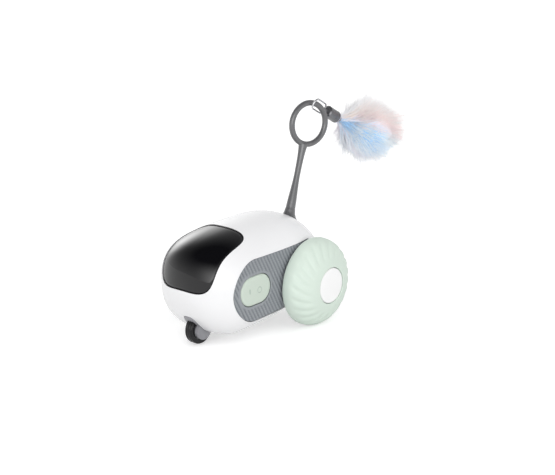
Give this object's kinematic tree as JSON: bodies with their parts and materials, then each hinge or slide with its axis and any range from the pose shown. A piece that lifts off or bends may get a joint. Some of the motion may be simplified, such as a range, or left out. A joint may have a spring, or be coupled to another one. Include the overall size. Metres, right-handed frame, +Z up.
{
  "type": "interactive mouse cat toy",
  "caption": "Egg-shaped rolling cat toy with a dark visor, domed mint wheels, a front roller and a bendy tail whose ring holds a colourful tuft on a wire loop.",
  "frame": {"origin": "on the floor, under the centre of the bounding box", "axes": "+Z up, the nose points to -Y, the toy's left side with the button is +X"},
  "size_m": [0.0836, 0.1714, 0.1156],
  "materials": {
    "white_shell": "smooth white with a soft gloss",
    "black_gloss": "high gloss black",
    "grey_panel": "satin grey with fine slanted ribs",
    "mint": "satin pale mint",
    "mint_button": "satin mint grey",
    "hub_white": "satin white",
    "inner_grey": "plain grey",
    "steel": "plain steel",
    "brass": "plain brass",
    "gear_plastic": "plain off-white",
    "board_green": "green circuit board",
    "switch_black": "plain black",
    "battery_wrap": "blue film over a metal can",
    "tyre_black": "glossy black",
    "well_grey": "satin grey",
    "tail_grey": "satin grey",
    "wire": "bright wire",
    "ferrule_grey": "dark satin",
    "tuft": "soft plush in pale blue, pink and cream"
  },
  "bodies": {
    "body": {"top_shell": "white_shell", "base_cover": "white_shell", "base_screw_1": "steel", "base_screw_2": "steel", "base_screw_3": "steel", "base_screw_4": "steel", "visor": "black_gloss", "side_panel_left": "grey_panel", "side_panel_right": "grey_panel", "switch_board": "board_green", "button_switch": "switch_black", "axle_bush_left": "brass", "axle_bush_right": "brass", "motor_left": "steel", "motor_right": "steel", "chassis": "inner_grey", "battery": "battery_wrap", "main_board": "board_green", "charging_socket": "steel", "roller_well": "well_grey", "roller_pin": "steel", "tail_socket": "tail_grey"},
    "wheel_left": {"tyre_left": "mint", "wheel_core_left": "hub_white", "hub_cap_left": "hub_white", "axle_left": "steel", "drive_gear_left": "gear_plastic"},
    "wheel_right": {"tyre_right": "mint", "wheel_core_right": "hub_white", "hub_cap_right": "hub_white", "axle_right": "steel", "drive_gear_right": "gear_plastic"},
    "pinion_left": {"motor_pinion_left": "brass", "motor_shaft_left": "steel"},
    "pinion_right": {"motor_pinion_right": "brass", "motor_shaft_right": "steel"},
    "roller": {"front_tyre": "tyre_black", "front_hub": "well_grey"},
    "button": {"power_button": "mint_button"},
    "tail": {"tail": "tail_grey"},
    "loop": {"wire_loop": "wire"},
    "teaser": {"ferrule": "ferrule_grey", "tuft": "tuft"}
  },
  "joints": [
    {"name": "wheel_left_spin", "type": "hinge", "parent": "body", "child": "wheel_left", "pos_m": [0.0344, -0.0138, 0.024], "axis": [1, 0, 0], "continuous": true},
    {"name": "wheel_right_spin", "type": "hinge", "parent": "body", "child": "wheel_right", "pos_m": [-0.0344, -0.0138, 0.024], "axis": [1, 0, 0], "continuous": true},
    {"name": "pinion_left_spin", "type": "hinge", "parent": "body", "child": "pinion_left", "pos_m": [0.01575, -0.0234, 0.024], "axis": [1, 0, 0], "continuous": true},
    {"name": "pinion_right_spin", "type": "hinge", "parent": "body", "child": "pinion_right", "pos_m": [-0.01575, -0.0234, 0.024], "axis": [1, 0, 0], "continuous": true},
    {"name": "roller_spin", "type": "hinge", "parent": "body", "child": "roller", "pos_m": [0, -0.0733, 0.0079], "axis": [1, 0, 0], "continuous": true},
    {"name": "button_press", "type": "slide", "parent": "body", "child": "button", "axis": [-1, 0, 0], "range_m": [0, 0.0008], "stiffness_N_per_m": 800},
    {"name": "tail_sway", "type": "hinge", "parent": "body", "child": "tail", "pos_m": [0, 0.0018, 0.0555], "axis": [0, 1, 0], "range_deg": [-25, 25], "stiffness_Nm_per_rad": 0.06},
    {"name": "loop_slide", "type": "hinge", "parent": "tail", "child": "loop", "pos_m": [0, 0.0188, 0.1016], "axis": [0.9732, -0.23, 0], "range_deg": [-55, 55]},
    {"name": "ferrule_swing", "type": "hinge", "parent": "loop", "child": "teaser", "pos_m": [-0.00001, 0.03281, 0.10746], "axis": [0.342, 0.4556, 0.8219], "range_deg": [-35, 35]}
  ],
  "couplings": [
    {"joint": "pinion_left_spin", "follows": "wheel_left_spin", "ratio": -3},
    {"joint": "pinion_right_spin", "follows": "wheel_right_spin", "ratio": -3}
  ]
}
